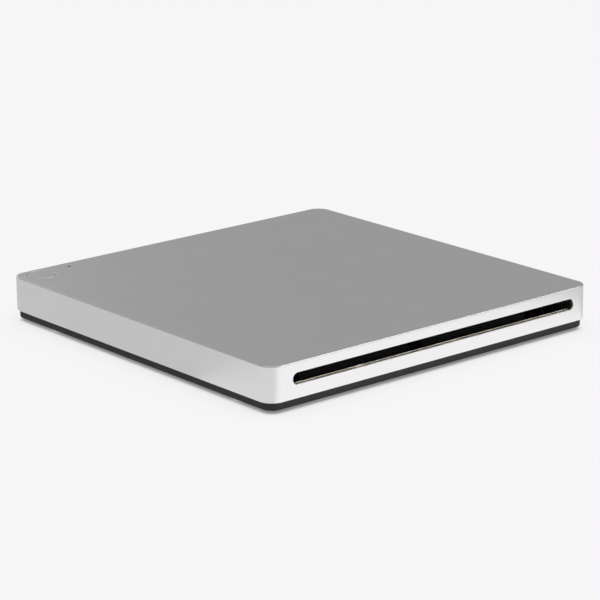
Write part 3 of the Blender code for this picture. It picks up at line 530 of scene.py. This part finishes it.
def make_shell():
    inner_r = CORNER_R - WALL
    sections = [plan(ROOM, inner_r, CEILING_Z), plan(ROOM, inner_r, RIM_Z + 0.15 * MM),
                plan(ROOM + 0.15 * MM, inner_r + 0.15 * MM, RIM_Z)]
    for inset, rise in reversed(quarter(RIM_EDGE_R, 4)):
        sections.append(plan(HALF - inset, CORNER_R - inset, RIM_Z + RIM_EDGE_R - rise))
    for inset, rise in quarter(TOP_EDGE_R):
        sections.append(plan(HALF - inset, CORNER_R - inset, TOP_Z - TOP_EDGE_R + rise))
    shell = loft("shell", sections)
    post_foot = SHELL_LOW.z
    drive_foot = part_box("drive_grommet_1")[1].z + 0.3 * MM
    deep = CEILING_Z + 0.3 * MM
    join(shell,
         *[pillar(f"post_{i}", at, POST_R, post_foot, deep) for i, at in enumerate(CASE_POSTS)],
         *[pillar(f"boss_{i}", at, POST_R, drive_foot, deep) for i, at in enumerate(HANGERS)])
    cut(shell,
        *[pillar(f"bore_{i}", at, SCREW_HOLE_R, post_foot - 1 * MM, 10 * MM)
          for i, at in enumerate(CASE_POSTS)],
        *[pillar(f"tap_{i}", at, SCREW_HOLE_R, drive_foot - 1 * MM, TOP_Z - 0.7 * MM)
          for i, at in enumerate(HANGERS)],
        hole_through_wall("slot_hole", SLOT_HALF_X, SLOT_HALF_Z, (SLOT_X, SLOT_Z), -HALF, 1),
        hole_through_wall("usb_hole", USB_HIGH.x + USB_HOLE_GAP,
                          (USB_HIGH.z - USB_LOW.z) / 2 + USB_HOLE_GAP,
                          (0, (USB_HIGH.z + USB_LOW.z) / 2), HALF, -1, edge=0.2 * MM),
        hole_through_top("key_hole", KEY, KEY_R + KEY_FIT + KEY_GAP, KEY_EDGE_R),
        hole_through_top("light_hole", LIGHT, LIGHT_R + LIGHT_GAP, LIGHT_EDGE_R))
    stand_for(shell, "top_shell")


def make_base():
    half, radius = BASE_HIGH.x, CORNER_R - (HALF - BASE_HIGH.x)
    top = BASE_TOP_Z
    floor = BASE_LOW.z + WALL
    inner, inner_r = half - WALL, radius - WALL
    sections = [plan(inner, inner_r, floor), plan(inner, inner_r, top)]
    for inset, rise in reversed(quarter(0.15 * MM, 3)):
        sections.append(plan(half - inset, radius - inset, top - 0.15 * MM + rise))
    for inset, rise in quarter(BASE_EDGE_R, 8):
        sections.append(plan(half - inset, radius - inset, BASE_LOW.z + BASE_EDGE_R - rise))
    base = loft("base", sections)
    lip_out, lip_in = ROOM - 0.4 * MM, ROOM - 1.3 * MM
    front_half, side_front, side_back = 50 * MM, -44 * MM, 42 * MM
    back_middle, back_half = 31 * MM, 19 * MM
    low, high = floor - 0.3 * MM, BASE_HIGH.z
    lips = [((-front_half, -lip_out, low), (front_half, -lip_in, high))]
    for side in (-1, 1):
        across = sorted((side * lip_in, side * lip_out))
        lips.append(((across[0], side_front, low), (across[1], side_back, high)))
        lips.append(((side * back_middle - back_half, lip_in, low),
                     (side * back_middle + back_half, lip_out, high)))
    boss_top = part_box("bridge_board")[0].z - 0.3 * MM
    stand_r, counterbore_r, counterbore_top, seat_r = 2.2 * MM, 1.9 * MM, 2.3 * MM, 5.3 * MM
    join(base, boxes("lips", lips),
         *[pillar(f"boss_{i}", at, POST_R + 0.4 * MM, BASE_LOW.z + 0.3 * MM, top - 0.2 * MM)
           for i, at in enumerate(CASE_POSTS)],
         *[pillar(f"stand_{i}", at, stand_r, BASE_LOW.z + 0.3 * MM, boss_top)
           for i, at in enumerate(BOARD_SCREWS)])
    below = BASE_LOW.z - 1 * MM
    cut(base,
        *[pillar(f"counterbore_{i}", at, counterbore_r, below, counterbore_top)
          for i, at in enumerate(CASE_POSTS)],
        *[pillar(f"bore_{i}", at, SCREW_HOLE_R, below, top + 1 * MM)
          for i, at in enumerate(CASE_POSTS)],
        *[pillar(f"tap_{i}", at, SCREW_HOLE_R - 0.1 * MM, floor, boss_top + 1 * MM)
          for i, at in enumerate(BOARD_SCREWS)],
        *[pillar(f"seat_{i}", centre_of(foot), seat_r, below, BASE_LOW.z + 0.5 * MM, 56)
          for i, foot in enumerate(FEET)])
    stand_for(base, "base_tray")


def make_foot(node):
    """A rubber disc with a soft edge and one moulded ring groove on its sole."""
    low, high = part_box(node)
    radius = (high.x - low.x) / 2
    top = high.z
    groove_in, groove_out, groove_depth, edge_r = radius * 0.55, radius * 0.65, 0.12 * MM, 0.35 * MM
    groove = [(groove_in, 0), (groove_in, groove_depth), (groove_out, groove_depth),
              (groove_out, 0)]
    edge = [(radius - edge_r + rise, inset) for inset, rise in quarter(edge_r)]
    profile = [(0, 0)] + groove + edge + [(radius, top), (0, top)]
    centre = (low + high) / 2
    stand_for(lathe(f"{node}_pad", profile, (centre.x, centre.y, low.z), 72), node)


def make_screw(node, head_down=True):
    """A pan-head screw with a cross recess in its head and a thread along its shank."""
    low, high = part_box(node)
    head_r, head_h, shank_r, pitch = 1.6 * MM, 0.8 * MM, 0.8 * MM, 0.5 * MM
    crown_h = 0.3 * MM
    length = high.z - low.z
    crown = [(rise * head_r / crown_h, inset) for inset, rise in quarter(crown_h)]
    profile = [(0, 0)] + crown[1:-1] + [(head_r, crown_h), (head_r, head_h), (shank_r, head_h)]
    turns = int((length - head_h - 0.6 * MM) / pitch)
    for turn in range(turns):
        foot = head_h + 0.3 * MM + turn * pitch
        profile += [(shank_r - 0.14 * MM, foot), (shank_r, foot + pitch * 0.45),
                    (shank_r, foot + pitch * 0.55)]
    profile += [(shank_r - 0.2 * MM, length), (0, length)]
    screw = lathe(f"{node}_steel", profile, steps=40)
    arm, wide = 0.95 * MM, 0.16 * MM
    cut(screw, boxes("recess", [((-arm, -wide, -0.2 * MM), (arm, wide, 0.42 * MM)),
                                ((-wide, -arm, -0.2 * MM), (wide, arm, 0.42 * MM))]))
    centre = (low + high) / 2
    if not head_down:
        screw.data.transform(Matrix.Rotation(math.pi, 4, "X"))
    screw.data.transform(Matrix.Translation((centre.x, centre.y, low.z if head_down else high.z)))
    stand_for(screw, node)


def along_x(name, profile_at, x_low, x_high, steps):
    """A strip along X: profile_at(x) gives its outline as (y, z) pairs."""
    stations = [x_low + (x_high - x_low) * i / steps for i in range(steps + 1)]
    return loft(name, [[(x, y, z) for y, z in profile_at(x)] for x in stations])


def make_slot_lip():
    """Thin metal strip folded over the slot's lower edge, with a rolled bead along its back."""
    low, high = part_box("slot_lip")
    bead_y, back_y = low.y + 0.1 * MM, low.y + 1.5 * MM
    floor_z = SLOT_Z - SLOT_HALF_Z + HOLE_EDGE_R
    top_z = floor_z + 0.07 * MM
    hem_y, hem_z = -HALF + 0.42 * MM, floor_z + 0.01 * MM
    fold_y = -ROOM + 0.1 * MM

    def profile(x):
        wave = sum(math.sin(x / (length * MM) + shift)
                   for length, shift in ((3.1, 0), (1.3, 1), (7, 0))) / 3
        bead = 0.10 * MM + 0.16 * MM * max(0, wave) ** 2
        angles = [math.radians(degrees) for degrees in range(-30, 181, 30)]
        roll = [(bead_y + bead * math.cos(angle), top_z + bead * math.sin(angle))
                for angle in angles]
        under = [(hem_y, hem_z), (fold_y, hem_z), (fold_y, low.z), (back_y, low.z),
                 (back_y, high.z), (bead_y + 0.1 * MM, high.z)]
        return under + roll + [(hem_y + 0.08 * MM, top_z), (hem_y, top_z - 0.06 * MM)]

    end = SLOT_HALF_X - SLOT_HALF_Z + 0.6 * MM
    stand_for(along_x("lip_strip", profile, SLOT_X - end, SLOT_X + end, 240), "slot_lip")


def make_slot_bezel():
    """Black guide frame behind the slot: a funnel for the disc and a guide back along each side."""
    low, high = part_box("slot_bezel")
    half_x, half_z = (high.x - low.x) / 2, (high.z - low.z) / 2
    middle = (SLOT_X, SLOT_Z)
    hole_x, hole_z, corner = 62.2 * MM, 3.0 * MM, 0.5 * MM
    funnel = 0.5 * MM
    sections = [upright(half_x, half_z, 1 * MM, y, (SLOT_X, (low.z + high.z) / 2))
                for y in (high.y, low.y)]
    sections += [upright(hole_x + grow, hole_z + grow / 2, corner + grow / 2, y, middle)
                 for y, grow in ((low.y, funnel), (low.y + funnel, 0.0), (high.y, 0.0))]
    bezel = loft("bezel", sections, closed=True)
    guide_in, guide_out, guide_length = 61.85 * MM, 62.3 * MM, 9 * MM
    guide_low, guide_high = 4.4 * MM, 12.8 * MM
    guides = []
    for side in (-1, 1):
        across = sorted((side * guide_in, side * guide_out))
        guides.append(((across[0], high.y - 0.2 * MM, guide_low),
                       (across[1], high.y + guide_length, guide_high)))
    stand_for(join(bezel, boxes("guides", guides, 0.1 * MM)), "slot_bezel")


def make_slot_felt():
    """Wiper felt with an uneven lower edge."""
    low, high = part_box("slot_felt")
    edge = 0.12 * MM

    def profile(x):
        nap = 0.04 * MM * (math.sin(x / (0.9 * MM)) + math.sin(x / (0.37 * MM) + 2)) / 2
        sag = low.z + edge * 0.5 + nap
        return [(low.y, high.z), (low.y, sag + edge), (low.y + edge, sag),
                (high.y - edge, sag), (high.y, sag + edge), (high.y, high.z)]

    stand_for(along_x("felt_strip", profile, low.x, high.x, 360), "slot_felt")


def make_key():
    """Round key with a fine bright edge, its two tabs and its plunger."""
    low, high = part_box("eject_button")
    top, edge = high.z, KEY_EDGE_R
    skirt = CEILING_Z - 0.9 * MM
    radius = KEY_R + KEY_FIT
    rim = [(radius - inset, top - edge + rise) for inset, rise in reversed(quarter(edge, 4))]
    key = lathe("key", [(0, top)] + rim + [(radius, skirt), (0, skirt)], (KEY.x, KEY.y, 0), 96)
    tab_x, tab_y = (high.x - low.x) / 2, 2.5 * MM
    join(key,
         boxes("tabs", [((KEY.x - tab_x, KEY.y - tab_y, skirt - 0.1 * MM),
                         (KEY.x + tab_x, KEY.y + tab_y, CEILING_Z - 0.3 * MM))]),
         pillar("plunger", KEY, 1.4 * MM, low.z, skirt + 0.2 * MM))
    stand_for(key, "eject_button")


def make_light_pipe():
    """Clear pipe with a domed tip and its retaining collar."""
    low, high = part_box("led_light_pipe")
    collar_r = (high.x - low.x) / 2
    collar = CEILING_Z - 0.3 * MM
    dome = [(LIGHT_R - inset, high.z - 0.12 * MM + rise * 0.8)
            for inset, rise in reversed(quarter(0.15 * MM, 4))]
    profile = [(0, high.z)] + dome + [(LIGHT_R, collar), (collar_r, collar),
                                      (collar_r, collar - 0.6 * MM), (LIGHT_R, collar - 0.6 * MM),
                                      (LIGHT_R, low.z), (0, low.z)]
    stand_for(lathe("light_pipe_moulding", profile, (LIGHT.x, LIGHT.y, 0), 40), "led_light_pipe")


def make_usb():
    """Flat oval metal mouth with a rolled front edge, its tongue and the contacts on it."""
    half_x = (USB_HIGH.x - USB_LOW.x) / 2
    half_z = (USB_HIGH.z - USB_LOW.z) / 2
    mid_z = (USB_HIGH.z + USB_LOW.z) / 2
    middle = (0, mid_z)
    front, back, wall = USB_HIGH.y, USB_LOW.y, 0.3 * MM
    sections = [upright(half_x, half_z, half_z, back, middle)]
    for i in range(9):
        angle = math.pi * i / 8
        margin = -wall / 2 * (1 - math.cos(angle))
        sections.append(upright(half_x + margin, half_z + margin, half_z + margin,
                                front - wall / 2 * (1 - math.sin(angle)), middle))
    sections.append(upright(half_x - wall, half_z - wall, half_z - wall, back, middle))
    stand_for(loft("usb_mouth", sections, closed=True), "usb_socket")

    low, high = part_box("usb_tongue")
    tongue_z = 0.35 * MM
    tongue = boxes("usb_insert", [((-3.2 * MM, back + 1 * MM, mid_z - tongue_z),
                                   (3.2 * MM, high.y, mid_z + tongue_z))], 0.08 * MM)
    core = loft("usb_core", [upright(high.x, high.z - mid_z, high.z - mid_z, y, middle)
                             for y in (low.y, back + 2.5 * MM)])
    stand_for(join(tongue, core), "usb_tongue")
    count, pitch, half_pad, thin = 12, 0.5 * MM, 0.13 * MM, 0.03 * MM
    pads = [((pitch * (i - (count - 1) / 2) - half_pad, high.y - 3.4 * MM, mid_z + side - thin),
             (pitch * (i - (count - 1) / 2) + half_pad, high.y - 0.7 * MM, mid_z + side + thin))
            for side in (-tongue_z, tongue_z) for i in range(count)]
    add_detail(boxes("usb_contacts", pads), contact_gold(), "usb_tongue")


# ---------------------------------------------------------------- inside

def add_detail(piece, finish, node):
    """A detail that belongs to a node: it rides the same body with a finish of its own."""
    piece.data.materials.append(finish)
    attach(piece, BODY_OF[node])
    shade(piece)


def make_chip(node, board_top):
    """Moulded package with a pin 1 dimple, and gull-wing legs along its four sides."""
    low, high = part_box(node)
    reach, half_leg, thick, pitch = 0.8 * MM, 0.14 * MM, 0.12 * MM, 0.8 * MM
    body = boxes(f"{node}_body", [((low.x + reach, low.y + reach, low.z),
                                   (high.x - reach, high.y - reach, high.z))], 0.1 * MM)
    dimple_at = (low.x + reach + 1 * MM, low.y + reach + 1 * MM)
    cut(body, pillar("dimple", dimple_at, 0.4 * MM, high.z - 0.1 * MM, high.z + 1 * MM, 24))
    stand_for(body, node)

    centre, half = (low + high) / 2, (high.x - low.x) / 2 - reach
    shoulder = centre.z + thick / 2
    outline = [(-0.1 * MM, shoulder), (0.35 * MM, shoulder), (0.5 * MM, board_top + thick),
               (reach, board_top + thick), (reach, board_top), (0.42 * MM, board_top),
               (0.27 * MM, shoulder - thick), (-0.1 * MM, shoulder - thick)]
    count = int((2 * half - 0.8 * MM) / pitch)
    bm = bmesh.new()
    for quarter_turn in range(4):
        turn = Matrix.Rotation(math.pi / 2 * quarter_turn, 4, "Z")
        for i in range(count):
            along = (i - (count - 1) / 2) * pitch
            rows = [[bm.verts.new(Vector((centre.x, centre.y, 0)) +
                                  turn @ Vector((half + out, along + side * half_leg, z)))
                     for out, z in outline] for side in (-1, 1)]
            bm.faces.new(rows[0])
            bm.faces.new(rows[1])
            for j in range(len(outline)):
                k = (j + 1) % len(outline)
                bm.faces.new((rows[0][j], rows[0][k], rows[1][k], rows[1][j]))
    add_detail(to_object(f"{node}_legs", bm), FINISHES["screw_steel"], node)


def make_small_parts(node, board_top, places):
    """Resistors and capacitors on a board: dark bodies between soldered ends."""
    bodies, ends = [], []
    rim, cap = 0.04, 0.25
    for i, (x, y) in enumerate(places):
        long, wide, tall = ((0.8, 0.4, 0.4), (1.0, 0.6, 0.7), (0.5, 0.28, 0.3))[i % 3]
        half_x, half_y = (long, wide) if i % 2 else (wide, long)
        bodies.append(((x - half_x * MM, y - half_y * MM, board_top),
                       (x + half_x * MM, y + half_y * MM, board_top + tall * MM)))
        for side in (-1, 1):
            if i % 2:
                across = sorted((side * (half_x + rim), side * (half_x - cap)))
                ends.append(((x + across[0] * MM, y - (half_y + rim) * MM, board_top),
                             (x + across[1] * MM, y + (half_y + rim) * MM,
                              board_top + (tall + rim) * MM)))
            else:
                across = sorted((side * (half_y + rim), side * (half_y - cap)))
                ends.append(((x - (half_x + rim) * MM, y + across[0] * MM, board_top),
                             (x + (half_x + rim) * MM, y + across[1] * MM,
                              board_top + (tall + rim) * MM)))
    add_detail(boxes(f"{node}_parts", bodies, 0.03 * MM), FINISHES["chip_package"], node)
    add_detail(boxes(f"{node}_solder", ends, 0.03 * MM), FINISHES["screw_steel"], node)


def make_lead_screw():
    """Rod along the deck's diagonal, with a left-hand two-start thread between two plain
    journals. Its lead is the sled's travel in one turn."""
    low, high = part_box("lead_screw")
    radius = (high.z - low.z) / 2
    length = (high.x - low.x) * math.sqrt(2) - 2 * radius
    journal, lead, starts, depth, sides = 2.5 * MM, 3.0 * MM, 2, 0.22 * MM, 24
    rows = round((length - 2 * journal) / (lead / starts / 10))
    stations = [(0, 0), (journal, 0)]
    stations += [(journal + (length - 2 * journal) * i / rows, depth) for i in range(rows + 1)]
    stations += [(length - journal, 0), (length, 0)]
    sections = []
    for along, cut_depth in stations:
        ring = []
        for i in range(sides):
            phase = starts * (along / lead + i / sides)
            groove = cut_depth * (0.5 + 0.5 * math.cos(math.tau * phase))
            angle = math.tau * i / sides
            ring.append((along - length / 2, (radius - groove) * math.cos(angle),
                         (radius - groove) * math.sin(angle)))
        sections.append(ring)
    screw = loft("lead_screw_thread", sections)
    centre = (low + high) / 2
    screw.data.transform(Matrix.Translation(centre) @ Matrix.Rotation(math.pi / 4, 4, "Z"))
    stand_for(screw, "lead_screw")


def make_lamp():
    """Surface-mounted lamp: a small block with a clear dome under the light pipe."""
    low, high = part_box("status_led")
    centre = (low + high) / 2
    block = boxes("lamp", [(low, (high.x, high.y, low.z + 0.35 * MM))], 0.05 * MM)
    radius = 0.32 * MM
    dome = [(radius - inset, low.z + 0.4 * MM + rise) for inset, rise in quarter(0.28 * MM, 5)]
    foot = [(0, low.z + 0.2 * MM), (radius, low.z + 0.2 * MM)]
    join(block, lathe("dome", foot + dome + [(0, dome[-1][1])], (centre.x, centre.y, 0), 24))
    stand_for(block, "status_led")


def soften(piece, width):
    """Fine rounded edges on a CAD node that is shown as it is."""
    weld = piece.modifiers.new("one_skin", "WELD")
    weld.merge_threshold = 0.001 * MM
    rounding = piece.modifiers.new("fine_edges", "BEVEL")
    rounding.width = width
    rounding.segments = 2
    rounding.limit_method = "ANGLE"
    rounding.angle_limit = SMOOTH_BELOW
    rounding.harden_normals = True
    rounding.use_clamp_overlap = True


# ---------------------------------------------------------------- every piece in its place

make_shell()
make_base()
for foot in FEET:
    make_foot(foot)
for number in (1, 2, 3, 4):
    make_screw(f"case_screw_{number}")
    make_screw(f"drive_screw_{number}")
for number in (1, 2):
    make_screw(f"board_screw_{number}", head_down=False)
make_slot_lip()
make_slot_bezel()
make_slot_felt()
make_key()
make_light_pipe()
make_usb()
DRIVE_BOARD_TOP, BRIDGE_BOARD_TOP = (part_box(node)[1].z for node in ("drive_board", "bridge_board"))
make_chip("controller_chip", DRIVE_BOARD_TOP)
make_chip("bridge_chip", BRIDGE_BOARD_TOP)
make_lead_screw()
make_lamp()
make_small_parts("drive_board", DRIVE_BOARD_TOP, [
    (x * MM, y * MM) for y in (-9, -5, 15, 19) for x in (-57, -53, -48, -44, -39)])
make_small_parts("bridge_board", BRIDGE_BOARD_TOP, [
    (x * MM, y * MM) for x in (-36, -32, -28, -13, -9) for y in (61.5, 64.5)])

for node, piece in frame["nodes"].items():
    if node not in REMADE:
        soften(piece, 0.06 * MM)


# ---------------------------------------------------------------- stage, lights and camera

def make_floor():
    half = 6.0
    bm = bmesh.new()
    bmesh.ops.create_grid(bm, x_segments=12, y_segments=12, size=half)
    floor = to_object("floor", bm)
    material, tree, shader, place = graph("pale_floor")
    tone = noise(tree, place, 0.3, 3.0)
    tree.links.new(tint(tree, tone, (0.30, 0.294, 0.297), (0.305, 0.299, 0.302)),
                   shader.inputs["Base Color"])
    shader.inputs["Roughness"].default_value = 0.9
    shader.inputs["Specular IOR Level"].default_value = 0.0
    # The floor glows evenly. Ambient occlusion within 2 mm darkens that glow beside and under the
    # case, which paints a contact shadow into the floor's emission.
    contact = tree.nodes.new("ShaderNodeAmbientOcclusion")
    contact.samples = 8
    contact.inputs["Distance"].default_value = 2 * MM
    painted_contact_shadow = tint(tree, contact.outputs["AO"], (0.05, 0.05, 0.05), (1.0, 0.985, 0.99), (0.05, 0.8))
    tree.links.new(painted_contact_shadow, shader.inputs["Emission Color"])
    shader.inputs["Emission Strength"].default_value = 0.75
    floor.data.materials.append(material)


def make_world():
    """An even, soft studio that is slightly brighter overhead."""
    world = bpy.data.worlds.new("studio")
    bpy.context.scene.world = world
    world.use_nodes = True
    tree = world.node_tree
    background = next(n for n in tree.nodes if n.type == "BACKGROUND")
    direction = tree.nodes.new("ShaderNodeTexCoord").outputs["Generated"]
    split = tree.nodes.new("ShaderNodeSeparateXYZ")
    tree.links.new(direction, split.inputs["Vector"])
    sky = tint(tree, split.outputs["Z"], (0.44, 0.44, 0.44), (0.46, 0.46, 0.46), (0.2, 0.9))
    tree.links.new(sky, background.inputs["Color"])


def soft_light(name, place, size, power, target=(0, 0, 0), diffuse=True):
    light = bpy.data.lights.new(name, "AREA")
    light.shape = "RECTANGLE"
    light.size, light.size_y = size
    light.energy = power
    lamp = new_object(name, light)
    lamp.location = place
    lamp.rotation_euler = (Vector(target) - Vector(place)).to_track_quat("-Z", "Y").to_euler()
    lamp.visible_camera = False
    lamp.visible_diffuse = diffuse


def floor_card(name, x_limits, y_limits, power, diffuse=True):
    """A light just above the floor that faces up: the sides reflect it and the top can't."""
    middle = [(limits[0] + limits[1]) / 2 for limits in (x_limits, y_limits)]
    spans = [limits[1] - limits[0] for limits in (x_limits, y_limits)]
    soft_light(name, (*middle, 1 * MM), spans, power, (*middle, 1), diffuse)


def make_camera():
    """The camera looks down at the front and left sides from the front left."""
    azimuth, elevation, roll = (math.radians(a) for a in (-40.01, 16.46, 0.50))
    right = Vector((math.cos(azimuth), math.sin(azimuth), 0))
    back = Vector((math.sin(azimuth) * math.cos(elevation),
                   -math.cos(azimuth) * math.cos(elevation), math.sin(elevation)))
    up = back.cross(right)
    right, up = (math.cos(roll) * right - math.sin(roll) * up,
                 math.sin(roll) * right + math.cos(roll) * up)
    middle_z, shift_right, shift_up, distance = 9.06 * MM, 0.857 * MM, -0.66 * MM, 0.89175
    target = Vector((0, 0, middle_z)) + shift_right * right + shift_up * up
    camera = new_object("camera", bpy.data.cameras.new("camera"))
    axes = Matrix((right, up, back)).transposed().to_4x4()
    camera.matrix_world = Matrix.Translation(target + distance * back) @ axes
    camera.data.lens = 156.8
    bpy.context.scene.camera = camera


make_floor()
make_world()
soft_light("overhead", (0.0, 0.0, 1.6), (1.8, 1.8), 6)
floor_card("front_card", (-0.07, 0.085), (-0.43, -0.071), 0.114)
floor_card("corner_card", (-0.42, -0.071), (-0.43, -0.028), 0.112, diffuse=False)
soft_light("high_right", (0.75, -0.6, 0.9), (0.6, 0.4), 4, diffuse=False)
soft_light("back_left", (0.15, 1.4, 0.5), (1.0, 0.5), 2.0, diffuse=False)
make_camera()
bpy.context.scene.view_settings.view_transform = "Standard"
